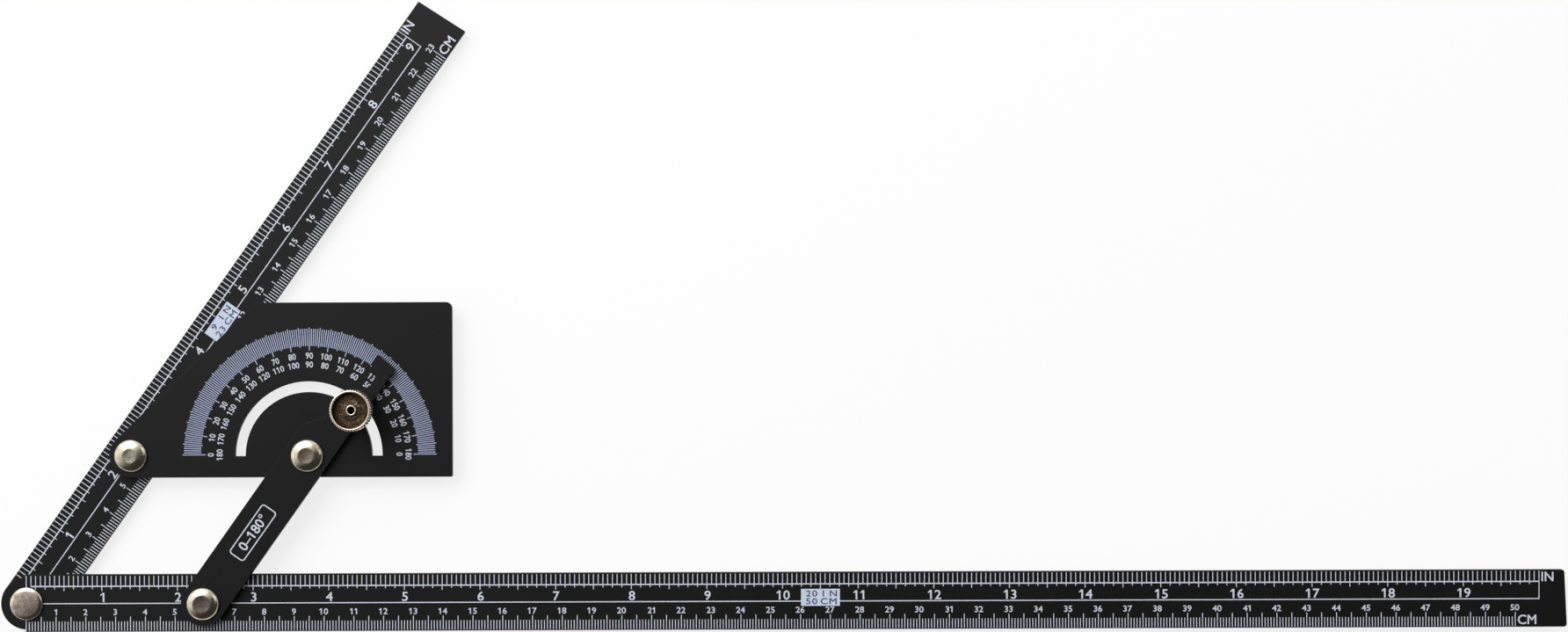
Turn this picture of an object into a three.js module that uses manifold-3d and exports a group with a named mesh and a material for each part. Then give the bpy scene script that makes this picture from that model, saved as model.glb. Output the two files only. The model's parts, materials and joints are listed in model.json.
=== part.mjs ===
import * as THREE from 'three';
import { mergeVertices } from 'three/addons/utils/BufferGeometryUtils.js';
import Module from 'manifold-3d';

// Adjustable protractor: two flat rulers, a degree plate and a pointer link, riveted into a
// parallelogram, with a knurled knob that clamps the pointer in the plate's half-circle slot.
// Millimetres, +Z up. The origin is on the axis of the vertex rivet, at the foot of its tail.
// +X runs along the long ruler, away from the vertex.

const { degToRad } = THREE.MathUtils;

const wasm = await Module();
wasm.setup();

// Linkage, between rivet centres
const longPivotSpacing = 60.6; // vertex to arm rivet, and ruler rivet to dial rivet
const shortPivotSpacing = 59.7; // vertex to ruler rivet, and arm rivet to dial rivet
const openingAngle = degToRad(54.7);

// Leaves: the rulers and the plate are cut from one sheet, the link from its own
const leafThickness = 2;
const linkThickness = 2;

// Long ruler
const rulerWidth = 19.2;
const rulerLength = 516.7; // vertex to the middle of the far end
const rulerCornerRadius = 1;

// Short ruler
const armWidth = 18.6;
const armLength = 241.4; // vertex to the middle of the far end
const armCornerRadius = 0.3;

// Both rulers: a round end at the vertex, narrower than the bar, and a far end cut slightly askew
const vertexEndRadius = 8.8;
const barShoulder = 0.6; // how far the full width reaches behind the vertex
const farEndSlant = degToRad(2.4);

// Degree plate, measured from the dial rivet in the middle of its scale
const plateReach = 48.2; // to the right-hand edge
const plateRise = 51.3; // to the top edge
const plateMargin = 7.4; // to the bottom edge, and round the arm rivet
const plateSlant = degToRad(44.2); // between the bottom edge and the slanted edge
const plateTopRadius = 2.2;
const plateCornerRadius = 0.4;

// Half-circle slot
const slotRadius = 23; // dial rivet to the middle of the slot
const slotWidth = 3.6;
const slotEndDrop = 0.3; // how far the square ends lie below the scale's base line

// Pointer link: a strip with one half cut away above the dial rivet, so that the edge of the
// other half lies on the line between the two rivets and reads the scale
const linkWidth = 14.9;
const pointerReach = 41.2; // dial rivet to the tip
const notchReach = 17.8; // dial rivet to the root of the cut-away
const notchSlope = degToRad(36.2);
const notchRootRadius = 1;
const shoulderRadius = 6;
const tipRadius = 0.5;
const tabLength = 4.1; // reading edge that is left at the tip, outside the window
const windowRadius = 4.7; // round cut in the reading edge, which shows the numbers beside it
const windowOffset = 0.85; // centre of the round cut, outside the reading edge

// Rivets
const shankRadius = 2;
const rivetHeadRadius = 5.45;
const domedHeadHeight = 1.9;
const domedHeadRim = 0.5; // straight side under the dome
const domedFlatShare = 0.5; // flat middle of a domed head, as a share of its radius
const dishDepth = 0.12;
const flatHeadHeight = 1.5;
const flatHeadBevel = 0.6;
const tailRadius = 3;
const tailHeight = 1;
const tailBevel = 0.4;
const pivotClearance = 0.1; // hole to shank
const openPivotClearance = 0.3; // plate's hole to the dial rivet

// Washers
const leafWasherRadius = 5;
const leafWasherThickness = 0.3;
const backWasherRadius = 4.4;
const backWasherThickness = 0.5;
const slotWasherRadius = 4.2;
const clampWasherRadius = 4.6;
const clampWasherThickness = 0.5;
const knobWasherRadius = 5;
const knobWasherThickness = 0.5;
const runningGap = 0.05; // between stacked faces

// Clamp screw
const screwRadius = 1.5;
const screwHeadRadius = 4;
const screwHeadHeight = 1.2;
const screwBevel = 0.3;
const neckWidth = 3; // square neck that slides in the slot
const neckHeight = 1.8;
const screwReach = 6; // above the link's top face
const screwOffset = 4.85; // from the pointer's reading edge, past the middle of its bar
const screwClearance = 0.2;

// Lock knob
const knobRadius = 7;
const knobHeight = 12;
const knobHeadHeight = 4.5;
const knobBossRadius = 4.2;
const knobBevel = 0.4;
const knobRim = 1;
const recessDepth = 2.2;
const recessDraft = 0.25;
const lipRadius = 1.75;
const lipHeight = 0.45;
const eyeRadius = 1.2;
const webThickness = 1.3; // knob's top web over the threaded bore
const knurlCount = 44;
const knurlDepth = 0.35;
const knurlCrest = 0.15; // how far the flanks of a tooth would meet outside its flat crest

// How finely round shapes are cut
const outlineFlats = 64;
const holeFlats = 40;
const turnedFlats = 36;
const weldTolerance = 1e-4;

// Stacking levels, from the foot of the tails up
const leafGap = leafWasherThickness + 2 * runningGap;
const armFloor = tailHeight + backWasherThickness + 2 * runningGap;
const rulerFloor = armFloor + leafThickness + leafGap;
const linkFloor = rulerFloor + leafThickness + leafGap;
const linkTop = linkFloor + linkThickness;

// Rivet centres in plan
const vertexPivot = new THREE.Vector2(0, 0);
const rulerPivot = new THREE.Vector2(shortPivotSpacing, 0);
const armPivot = new THREE.Vector2(
  longPivotSpacing * Math.cos(openingAngle),
  longPivotSpacing * Math.sin(openingAngle),
);
const dialPivot = armPivot.clone().add(rulerPivot);

// The screw stands in the middle of the slot, on the pointer's bar
const screwTurn = Math.asin(screwOffset / slotRadius);
const screwPivot = new THREE.Vector2(slotRadius, 0)
  .rotateAround(new THREE.Vector2(), openingAngle - screwTurn)
  .add(dialPivot);

// Materials
const metal = (color, roughness) => new THREE.MeshStandardMaterial({ color, roughness, metalness: 1 });
const anodised = new THREE.MeshStandardMaterial({ color: 0x242427, roughness: 0.45, metalness: 0.4 });
const nickel = metal(0xbcb4a4, 0.32);
const zinc = metal(0xaeb0b2, 0.4);
const nylon = new THREE.MeshStandardMaterial({ color: 0xe6e2d6, roughness: 0.6, metalness: 0 });

// Points along an arc, the ends included
function arc(x, y, radius, start, end, flats = outlineFlats) {
  const steps = Math.max(2, Math.ceil((flats * Math.abs(end - start)) / (2 * Math.PI)));
  const points = [];
  for (let step = 0; step <= steps; step += 1) {
    const angle = start + ((end - start) * step) / steps;
    points.push(new THREE.Vector2(x + radius * Math.cos(angle), y + radius * Math.sin(angle)));
  }
  return points;
}

// A round hole for a shape
function roundHole(x, y, radius) {
  return new THREE.Path(arc(x, y, radius, 0, 2 * Math.PI, holeFlats).slice(1));
}

// One corner of an outline, rounded between the straight edges from before and to after
function roundedCorner(before, corner, after, radius) {
  const toBefore = before.clone().sub(corner).normalize();
  const toAfter = after.clone().sub(corner).normalize();
  const halfAngle = Math.acos(toBefore.dot(toAfter)) / 2;
  const setback = radius / Math.tan(halfAngle);
  const first = corner.clone().addScaledVector(toBefore, setback);
  const last = corner.clone().addScaledVector(toAfter, setback);
  const bisector = toBefore.clone().add(toAfter).normalize();
  const centre = corner.clone().addScaledVector(bisector, radius / Math.sin(halfAngle));
  const start = first.clone().sub(centre).angle();
  const turn = last.clone().sub(centre).angle() - start;
  const shortTurn = turn - 2 * Math.PI * Math.round(turn / (2 * Math.PI));
  return arc(centre.x, centre.y, radius, start, start + shortTurn);
}

// A closed outline through corners, each given as x, y and the radius that rounds it
function roundedOutline(corners) {
  const at = corners.map(([x, y]) => new THREE.Vector2(x, y));
  const points = corners.flatMap(([, , radius], index) => {
    const before = at.at(index - 1);
    const after = at[(index + 1) % at.length];
    return radius > 0 ? roundedCorner(before, at[index], after, radius) : [at[index]];
  });
  return points.filter((point, index) => point.distanceTo(points.at(index - 1)) > weldTolerance);
}

// A flat leaf with holes, standing on its own plane z = 0
function leaf(outline, holes, thickness) {
  const shape = new THREE.Shape(outline);
  shape.holes.push(...holes);
  return new THREE.ExtrudeGeometry(shape, { depth: thickness, bevelEnabled: false });
}

// A turned piece about the Z axis, from a profile of radius and height
function turned(profile, flats = turnedFlats) {
  const points = profile.map(([radius, height]) => new THREE.Vector2(radius, height));
  return new THREE.LatheGeometry(points, flats).rotateX(Math.PI / 2);
}

// A flat ring standing on z = 0
function washer(innerRadius, outerRadius, thickness) {
  return turned([
    [innerRadius, 0],
    [outerRadius, 0],
    [outerRadius, thickness],
    [innerRadius, thickness],
    [innerRadius, 0],
  ]);
}

// A closed mesh as a solid that can be joined and cut
function toSolid(geometry) {
  const bare = geometry.clone();
  bare.deleteAttribute('normal');
  bare.deleteAttribute('uv');
  const welded = mergeVertices(bare, weldTolerance);
  const corners = welded.index.array;
  const kept = [];
  for (let face = 0; face < corners.length; face += 3) {
    const [a, b, c] = corners.slice(face, face + 3);
    if (a !== b && b !== c && c !== a) {
      kept.push(a, b, c);
    }
  }
  const vertProperties = new Float32Array(welded.attributes.position.array);
  return new wasm.Manifold(new wasm.Mesh({ numProp: 3, vertProperties, triVerts: new Uint32Array(kept) }));
}

function toGeometry(solid) {
  const { vertProperties, triVerts } = solid.getMesh();
  const geometry = new THREE.BufferGeometry();
  geometry.setAttribute('position', new THREE.BufferAttribute(new Float32Array(vertProperties), 3));
  geometry.setIndex(new THREE.BufferAttribute(new Uint32Array(triVerts), 1));
  geometry.computeVertexNormals();
  return geometry;
}

// A ruler with its vertex on the origin, its length along +X and the inch edge on the +Y side
function rulerOutline(length, width, cornerRadius) {
  const halfWidth = width / 2;
  const skew = halfWidth * Math.tan(farEndSlant);
  const meet = Math.acos(-barShoulder / vertexEndRadius);
  const bar = roundedOutline([
    [-barShoulder, -halfWidth, 0],
    [length + skew, -halfWidth, cornerRadius],
    [length - skew, halfWidth, cornerRadius],
    [-barShoulder, halfWidth, 0],
  ]);
  return [...bar, ...arc(0, 0, vertexEndRadius, meet, 2 * Math.PI - meet)];
}

function longRuler() {
  const bore = shankRadius + pivotClearance;
  const holes = [roundHole(0, 0, bore), roundHole(shortPivotSpacing, 0, bore)];
  return leaf(rulerOutline(rulerLength, rulerWidth, rulerCornerRadius), holes, leafThickness);
}

function shortRuler() {
  const bore = shankRadius + pivotClearance;
  const holes = [roundHole(0, 0, bore), roundHole(longPivotSpacing, 0, bore)];
  return leaf(rulerOutline(armLength, armWidth, armCornerRadius), holes, leafThickness);
}

// The slot's outline about the dial rivet at x, y
function slotHole(x, y) {
  const outer = slotRadius + slotWidth / 2;
  const inner = slotRadius - slotWidth / 2;
  return new THREE.Path([
    new THREE.Vector2(x + outer, y - slotEndDrop),
    ...arc(x, y, outer, 0, Math.PI),
    new THREE.Vector2(x - outer, y - slotEndDrop),
    new THREE.Vector2(x - inner, y - slotEndDrop),
    ...arc(x, y, inner, Math.PI, 0),
    new THREE.Vector2(x + inner, y - slotEndDrop),
  ]);
}

// The plate with the arm rivet on the origin and the dial rivet along +X from it
function protractorPlate() {
  const right = shortPivotSpacing + plateReach;
  const cornerX = -plateMargin / Math.tan(plateSlant / 2);
  const topX = cornerX + (plateRise + plateMargin) / Math.tan(plateSlant);
  const outline = roundedOutline([
    [cornerX, -plateMargin, plateMargin],
    [right, -plateMargin, plateCornerRadius],
    [right, plateRise, plateTopRadius],
    [topX, plateRise, plateCornerRadius],
  ]);
  const holes = [
    roundHole(0, 0, shankRadius + pivotClearance),
    roundHole(shortPivotSpacing, 0, shankRadius + openPivotClearance),
    slotHole(shortPivotSpacing, 0),
  ];
  return leaf(outline, holes, leafThickness);
}

// The link with the ruler rivet on the origin and the dial rivet along +X from it
function pointerLink() {
  const halfWidth = linkWidth / 2;
  const heelX = longPivotSpacing + Math.sqrt(pointerReach ** 2 - halfWidth ** 2);
  const rootX = longPivotSpacing + notchReach;
  const shoulderX = rootX - halfWidth / Math.tan(notchSlope);
  const windowLean = Math.asin(windowOffset / windowRadius);
  const windowX = longPivotSpacing + pointerReach - tabLength - windowRadius * Math.cos(windowLean);
  const window = arc(windowX, windowOffset, windowRadius, -windowLean, windowLean - Math.PI);
  const outline = roundedOutline([
    [-halfWidth, halfWidth, halfWidth],
    [-halfWidth, -halfWidth, halfWidth],
    [heelX, -halfWidth, tipRadius],
    [longPivotSpacing + pointerReach, 0, 0],
    ...window.map(({ x, y }) => [x, y, 0]),
    [rootX, 0, notchRootRadius],
    [shoulderX, halfWidth, shoulderRadius],
  ]);
  const screwX = longPivotSpacing + slotRadius * Math.cos(screwTurn);
  const bore = shankRadius + pivotClearance;
  const holes = [
    roundHole(0, 0, bore),
    roundHole(longPivotSpacing, 0, bore),
    roundHole(screwX, -screwOffset, screwRadius + screwClearance),
  ];
  return leaf(outline, holes, linkThickness);
}

// Head profiles, from the shank's edge of the seat up to the axis
function domedHead(seat) {
  const flatRadius = rivetHeadRadius * domedFlatShare;
  const rise = domedHeadHeight - domedHeadRim;
  const shoulder = arc(0, 0, 1, 0, Math.PI / 2, turnedFlats / 2).map(({ x, y }) => [
    flatRadius + (rivetHeadRadius - flatRadius) * x,
    seat + domedHeadRim + rise * y,
  ]);
  return [[rivetHeadRadius, seat], ...shoulder, [0, seat + domedHeadHeight - dishDepth]];
}

function flatHead(seat) {
  return [
    [rivetHeadRadius, seat],
    [rivetHeadRadius, seat + flatHeadHeight - flatHeadBevel],
    [rivetHeadRadius - flatHeadBevel, seat + flatHeadHeight],
    [0, seat + flatHeadHeight],
  ];
}

// A rivet whose tail stands on z = 0 and whose head sits on two leaves
function rivet(head, upperThickness) {
  const tailTop = tailHeight;
  const seat = tailTop + backWasherThickness + 3 * runningGap + leafThickness + leafGap + upperThickness;
  return turned([
    [0, 0],
    [tailRadius - tailBevel, 0],
    [tailRadius, tailBevel],
    [tailRadius, tailTop],
    [shankRadius, tailTop],
    [shankRadius, seat],
    ...head(seat),
  ]);
}

// The clamp screw: flat head, square neck and round shank, standing on its head
function clampScrew() {
  const neckFloor = screwHeadHeight;
  const washerStack = clampWasherThickness + 2 * runningGap;
  const length = neckFloor + washerStack + leafThickness + leafGap + linkThickness + screwReach;
  const round = turned([
    [0, 0],
    [screwHeadRadius - screwBevel, 0],
    [screwHeadRadius, screwBevel],
    [screwHeadRadius, screwHeadHeight],
    [screwRadius, screwHeadHeight],
    [screwRadius, length - screwBevel],
    [screwRadius - screwBevel, length],
    [0, length],
  ]);
  const neckRoot = neckFloor / 2;
  const neckTop = neckFloor + washerStack + neckHeight;
  const neck = new THREE.BoxGeometry(neckWidth, neckWidth, neckTop - neckRoot);
  neck.translate(0, 0, (neckRoot + neckTop) / 2);
  return toGeometry(toSolid(round).add(toSolid(neck)));
}

// The knob: a turned cup on a boss, cut to a knurled outline round its head
function lockKnob() {
  const headFloor = knobHeight - knobHeadHeight;
  const recessFloor = knobHeight - recessDepth;
  const bore = screwRadius + screwClearance;
  const cup = turned([
    [bore, 0],
    [knobBossRadius - knobBevel, 0],
    [knobBossRadius, knobBevel],
    [knobBossRadius, headFloor],
    [knobRadius - knobBevel, headFloor],
    [knobRadius, headFloor + knobBevel],
    [knobRadius, knobHeight - knobBevel],
    [knobRadius - knobBevel, knobHeight],
    [knobRadius - knobRim, knobHeight],
    [knobRadius - knobRim - recessDraft, recessFloor],
    [lipRadius, recessFloor],
    [lipRadius, recessFloor + lipHeight],
    [eyeRadius, recessFloor + lipHeight],
    [eyeRadius, recessFloor - webThickness],
    [bore, recessFloor - webThickness],
    [bore, 0],
  ], knurlCount);
  const knurl = [];
  for (let edge = 0; edge < 2 * knurlCount; edge += 1) {
    const radius = edge % 2 === 0 ? knobRadius + knurlCrest : knobRadius - knurlDepth;
    const angle = (Math.PI * edge) / knurlCount;
    knurl.push(new THREE.Vector2(radius * Math.cos(angle), radius * Math.sin(angle)));
  }
  const sleeve = leaf(knurl, [], knobHeight + 2 * knobBevel).translate(0, 0, -knobBevel);
  return toGeometry(toSolid(cup).intersect(toSolid(sleeve)));
}

const protractor = new THREE.Group();

function place(name, geometry, material, pivot, floor, turn = 0) {
  const mesh = new THREE.Mesh(geometry, material);
  mesh.name = name;
  mesh.position.set(pivot.x, pivot.y, floor);
  mesh.rotation.z = turn;
  protractor.add(mesh);
}

place('long_ruler', longRuler(), anodised, vertexPivot, rulerFloor);
place('short_ruler', shortRuler(), anodised, vertexPivot, armFloor, openingAngle);
place('protractor_plate', protractorPlate(), anodised, armPivot, rulerFloor);
place('pointer_link', pointerLink(), anodised, rulerPivot, linkFloor, openingAngle);

// Each rivet with its washers, by the floor of the lower leaf that it joins
const rivetJoints = [
  { name: 'vertex', pivot: vertexPivot, floor: armFloor, upper: leafThickness, head: flatHead },
  { name: 'arm_plate', pivot: armPivot, floor: armFloor, upper: leafThickness, head: domedHead },
  { name: 'dial', pivot: dialPivot, floor: rulerFloor, upper: linkThickness, head: domedHead },
  { name: 'ruler_link', pivot: rulerPivot, floor: rulerFloor, upper: linkThickness, head: domedHead },
];
const washerBore = shankRadius + pivotClearance;
for (const { name, pivot, floor, upper, head } of rivetJoints) {
  const foot = floor - armFloor;
  const backWasher = washer(washerBore, backWasherRadius, backWasherThickness);
  const leafWasher = washer(washerBore, leafWasherRadius, leafWasherThickness);
  place(`rivet_${name}`, rivet(head, upper), nickel, pivot, foot);
  place(`back_washer_${name}`, backWasher, zinc, pivot, foot + tailHeight + runningGap);
  place(`leaf_washer_${name}`, leafWasher, nylon, pivot, floor + leafThickness + runningGap);
}

// The clamp: screw and washer from below, two washers and the knob above
const clampWasherFloor = rulerFloor - runningGap - clampWasherThickness;
const screwFloor = clampWasherFloor - runningGap - screwHeadHeight;
const knobWasherFloor = linkTop + runningGap;
const knobFloor = knobWasherFloor + knobWasherThickness + runningGap;
const roundBore = screwRadius + screwClearance;
const neckBore = neckWidth * Math.SQRT1_2 + screwClearance;
const clampWasher = washer(neckBore, clampWasherRadius, clampWasherThickness);
const slotWasher = washer(roundBore, slotWasherRadius, leafWasherThickness);
const knobWasher = washer(roundBore, knobWasherRadius, knobWasherThickness);
place('clamp_screw', clampScrew(), zinc, screwPivot, screwFloor, openingAngle - screwTurn);
place('clamp_washer', clampWasher, zinc, screwPivot, clampWasherFloor);
place('slot_washer', slotWasher, nylon, screwPivot, rulerFloor + leafThickness + runningGap);
place('knob_washer', knobWasher, zinc, screwPivot, knobWasherFloor);
place('lock_knob', lockKnob(), nickel, screwPivot, knobFloor);

export default protractor;
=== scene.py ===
import json
import math

import bmesh
import bpy
from mathutils import Matrix, Vector


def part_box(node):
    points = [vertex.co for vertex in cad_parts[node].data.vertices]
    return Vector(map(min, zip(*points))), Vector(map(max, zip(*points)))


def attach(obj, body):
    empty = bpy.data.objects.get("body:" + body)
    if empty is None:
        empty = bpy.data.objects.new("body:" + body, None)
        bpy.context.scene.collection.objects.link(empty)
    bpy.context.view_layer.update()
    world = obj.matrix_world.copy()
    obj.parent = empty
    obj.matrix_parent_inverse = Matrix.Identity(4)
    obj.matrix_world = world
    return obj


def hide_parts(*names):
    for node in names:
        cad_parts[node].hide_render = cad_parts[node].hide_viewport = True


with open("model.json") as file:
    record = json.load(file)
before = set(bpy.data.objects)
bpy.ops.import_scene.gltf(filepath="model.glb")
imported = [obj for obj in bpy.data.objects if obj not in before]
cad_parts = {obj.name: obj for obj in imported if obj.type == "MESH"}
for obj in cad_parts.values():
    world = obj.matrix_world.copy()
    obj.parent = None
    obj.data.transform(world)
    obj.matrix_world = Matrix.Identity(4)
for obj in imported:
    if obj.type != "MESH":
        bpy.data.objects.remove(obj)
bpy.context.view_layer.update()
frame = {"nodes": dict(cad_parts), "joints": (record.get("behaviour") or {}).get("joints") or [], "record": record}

MM = 0.001
CM = 10 * MM
INCH = 25.4 * MM
ACROSS = math.pi / 2 # turns a bar or a number across the line that it lies on

# Where the joints turn, and the body that each node rides on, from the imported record
joint_at = {joint["name"]: Vector(joint["pos_m"]) for joint in frame["joints"] if "pos_m" in joint}
VERTEX = joint_at["arm_swing"].to_2d()
ARM_RIVET = joint_at["plate_pivot"].to_2d()
RULER_RIVET = joint_at["link_swing"].to_2d()
KNOB = joint_at["knob_turn"].to_2d()
DIAL = ARM_RIVET + RULER_RIVET - VERTEX # the fourth corner of the parallelogram
OPENING = math.atan2(ARM_RIVET.y - VERTEX.y, ARM_RIVET.x - VERTEX.x) # between the rulers
BODY_OF = {
    node: body
    for body, nodes in frame["record"]["behaviour"]["bodies"].items()
    for node in nodes
}

# Stamped and turned edges
LEAF_ROUNDING = 0.15 * MM
WASHER_ROUNDING = 0.06 * MM
EDGE_SEGMENTS = 3
WELD = 0.0005 * MM # corners nearer than this are one
FLAT_ANGLE = math.radians(0.5) # faces that meet at less are one
RIM_ANGLE = math.radians(30) # edges where faces meet at more are eased

# Screen print, one layer on the other
INK_HEIGHT = 0.03 * MM
LINE_HEIGHT = 0.032 * MM # a line that crosses ticks
CLOSING_HEIGHT = 0.034 * MM # the line that closes a scale, across its last tick and both lines
PANEL_HEIGHT = 0.04 * MM
PANEL_INK_HEIGHT = 0.05 * MM

# Letters of the built-in font, for a size of 1
FONT_CAPITAL = 0.682 # height of a capital
BOLDNESS = 0.012 # how far the letters are fattened
GLYPH_STEPS = 3 # in each curve
GLYPH_WELD = 0.003 # closes the notches in the corners of the 4 and the M
STEM_OF_ONE = 0.098 # width of the figure one, which is a plain bar in this font
FLAG_ON_ONE = ( # the stroke that it lacks, from the bar's left side
    (0, 0.69), (-0.03, 0.69), (-0.075, 0.61), (-0.16, 0.56), (-0.16, 0.465), (0, 0.53),
)

# Ruler scales, along the ruler from its rivet and across it from the printed middle line
PRINT_START = {"long_ruler": -0.3 * MM, "short_ruler": 0.4 * MM} # zero of both scales
PRINT_MIDDLE = -0.1 * MM # from the middle of the ruler
MIDDLE_LINE_WIDTH = 0.34 * MM
SIXTEENTHS = 16 # to the inch
HALF_INCH = SIXTEENTHS // 2
EIGHTH_INCH = SIXTEENTHS // 8
FIRST_SIXTEENTH = {"long_ruler": 0, "short_ruler": 3} # clear of the long ruler's round end
INCH_TICK_WIDTH = 0.265 * MM
INCH_TICK_TOP = 9.3 * MM
INCH_BASE = 5.78 * MM # line that the shortest ticks stand on
INCH_BASE_WIDTH = 0.40 * MM
EIGHTH_END = 4.84 * MM
HALF_END = 4.22 * MM
CM_TICK_WIDTH = 0.265 * MM
CM_TICK_FOOT = 9.15 * MM
FIVE_MM_TICK_END = 4.43 * MM
MM_TICK_END = 6.0 * MM
NUMERAL_WIDTH = 1.08 # as a share of the font's
INCH_NUMERAL = 2.95 * MM
INCH_NUMERAL_MIDDLE = 2.05 * MM
INCH_NUMERAL_ON = 0.2 * MM # past its tick
LAST_NUMERAL_BACK = 2.2 * MM # from the closing line
LAST_NUMERAL_RISE = 0.75 * MM
CM_NUMERAL = 1.95 * MM
CM_NUMERAL_MIDDLE = 2.9 * MM
CM_NUMERAL_BACK = 0.12 * MM # before its tick
UNIT_LETTER = 3.05 * MM
INCH_UNIT = Vector((2.85, 7.4)) * MM # from the last inch tick
CM_UNIT = Vector((3.95, -7.0)) * MM # from the last centimetre tick

# Size panel on each ruler, placed as its scales are
PANEL_PLACE = {"long_ruler": 10.5 * INCH, "short_ruler": 4.5 * INCH} # its middle
PANEL_SIZE = Vector((13.05, 5.7)) * MM
PANEL_MIDDLE = 1.25 * MM
PANEL_LETTER = 2.0 * MM
PANEL_LETTER_WIDTH = 1.25 # as a share of the font's
PANEL_SPACING = 1.15 # of the digits, as a share of the font's
PANEL_UNIT_SPACING = {"IN": 1.8, "CM": 1.15}
PANEL_ROW = 1.3 * MM # each row's middle from the panel's
PANEL_NUMBER = -2.95 * MM # along the panel from its middle
PANEL_UNIT = {"IN": 3.15 * MM, "CM": 2.75 * MM}

# Degree scale, out from the dial rivet
DIAL_DEGREES = 180
DIAL_SLIP = Vector((0.32, 0.24)) * MM # the print is a little off the rivet's axis
DEGREE_TICK_WIDTH = 0.27 * MM
DEGREE_TICK_FOOT = 36.45 * MM
FIVE_TICK_FOOT = 36.0 * MM
TEN_TICK_FOOT = 34.9 * MM
DEGREE_TICK_TOP = 42.2 * MM
FIVE_TICK_TOP = 42.65 * MM
OUTER_NUMERALS = 33.2 * MM
INNER_NUMERALS = 30.2 * MM
DEGREE_NUMERAL = 1.95 * MM
DEGREE_NUMERAL_WIDTH = 0.9 # as a share of the font's

# Label on the link, between its two rivets
LABEL_SIZE = Vector((20.0, 6.0)) * MM
LABEL_CORNER = 1.2 * MM
LABEL_CORNER_STEPS = 6
LABEL_LINE = 0.4 * MM
LABEL_LETTER = 3.2 * MM
LABEL_BACK = 31.5 * MM # from the dial rivet back towards the ruler

# Rivets, as the frame has them
ROUND_STEPS = 96
SHANK_RADIUS = 2 * MM
TAIL_RADIUS = 3 * MM
TAIL_HEIGHT = 1 * MM
TAIL_BEVEL = 0.4 * MM
HEAD_ROUNDING = 0.12 * MM
FLAT_HEAD_HEIGHT = 1.5 * MM
FLAT_HEAD_BEVEL = 0.6 * MM
FLAT_HEAD_CROWN = 0.25 * MM # how far the top of the flat head rises to its middle
DOMED_HEAD_HEIGHT = 1.9 * MM
DOME_RIM = 0.5 * MM
DOME_CREASE = 0.1 * MM # half the width of the soft crease round a domed head's flat middle
DOME_SHOULDER = ( # shares of the way out to the rim and down to it
    (0.3, 0.13), (0.6, 0.33), (0.8, 0.52), (0.92, 0.72), (0.98, 0.88),
)
DISH_DEPTH = 0.12 * MM
TOP_STEPS = 6 # in the curve of a head's top
TOP_SHARES = [1 - step / TOP_STEPS for step in range(TOP_STEPS + 1)] # from its rim inwards

# Clamp screw
# the bare end is painted dark as shade down in the knob's eye
SCREW_CUT = 0.5 * MM # bare steel at its end

# Lock knob, as the frame has it
KNOB_HEAD_HEIGHT = 4.5 * MM
KNOB_BOSS_RADIUS = 4.2 * MM
KNOB_BORE = 1.7 * MM
KNOB_BEVEL = 0.4 * MM
KNOB_ROUNDING = 0.2 * MM
KNOB_RIM = 1.0 * MM # thickness of the wall round its recess
RECESS_DEPTH = 2.2 * MM
RECESS_DRAFT = 0.25 * MM
LIP_RADIUS = 1.75 * MM # outside of the raised eye
LIP_HEIGHT = 0.45 * MM
EYE_RADIUS = 1.2 * MM # hole in the eye
WEB = 1.3 * MM # how deep that hole is before the screw's bore
KNURL_COUNT = 44
KNURL_STEPS = 8 # in each groove
KNURL_DEPTH = 0.35 * MM
KNURL_FADE = 0.3 * MM # over which its grooves run out on the bevels

# Patterns of the materials, by the size that they have on the piece
GRAIN_LENGTH = 12 * MM # streak that rolling leaves in the sheet
GRAIN_WIDTH = 0.3 * MM # really about 0.05 mm, drawn wider so that it shows
SATIN_CLOUD = 18 * MM # where the bath etched the sheet a little more or less
SATIN_PIT = 0.35 * MM # really under 0.05 mm, drawn wider so that it shows
SATIN_PIT_DEPTH = 0.01 * MM
INK_PATCH = 0.5 * MM # a few threads of the screen's mesh
DENT = 0.6 * MM # from tumbling against other heads
DENT_DEPTH = 0.06 * MM
SCUFF = 2.2 * MM # from handling
SCUFF_ROUGHENS = 0.16
TOOL_RING = 1.777 * MM # from ring to ring, really about 0.1 mm, drawn wider so that it shows
TOOL_RING_DEPTH = 0.04 * MM
STAIN = 1.2 * MM # where the plating is thinner
SCRATCH = 0.7 * MM # the curl of a scratch
# the scratches fade out between these two reaches, which paints the recess darker towards its corner as shade
SCRATCHED_MIDDLE = 3.5 * MM # from the knob's axis
SCRATCHES_END_IN_SHADE = 5.2 * MM
OIL_FILM = 0.6 * MM # where the oil is thicker
ZINC_CLOUD = 1.5 * MM # where the bath plated it duller
NYLON_CLOUD = 1.0 * MM # where it is a little more milky
NYLON_GLOW_DEPTH = 0.5 * MM # how far light goes into it

# Sockets of a Mix node for colours, by number because others of it have the same names
MIX_SHARE, MIX_FROM, MIX_TO = 0, 6, 7
MIXED = 2

# Studio
FLOOR_REACH = 12.0 # each way from its middle
FLOOR_DROP = 0.05 * MM # below the rivets' tails
FLOOR_GLOW = 0.8 # share of plain white in what the camera and the metal see of the floor
LIGHT_SIDE = (-0.64, 0.77, 0) # direction of the light side of the room
ROOM_TURN = (-0.17, 0.6) # where the room starts and ends to lighten, 1 being straight that way
ROOM_LEVELS = (0.04, 1.3) # on its dark side and its light side, 1 being white
HORIZON_RISE = (0.12, 0.34) # where its light horizon starts and ends to fade, 1 being straight up
HORIZON_LEVEL = 0.9
SOFTBOX_AIM = Vector((0.25, 0.1, 0))
SOFTBOXES = ( # name, place from the aim, side and watts
    ("key_softbox", Vector((-0.65, 0.7, 0.95)), 0.9, 12.0),
    ("fill_softbox", Vector((0.8, 0.45, 0.9)), 0.7, 2.5),
)

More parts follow.
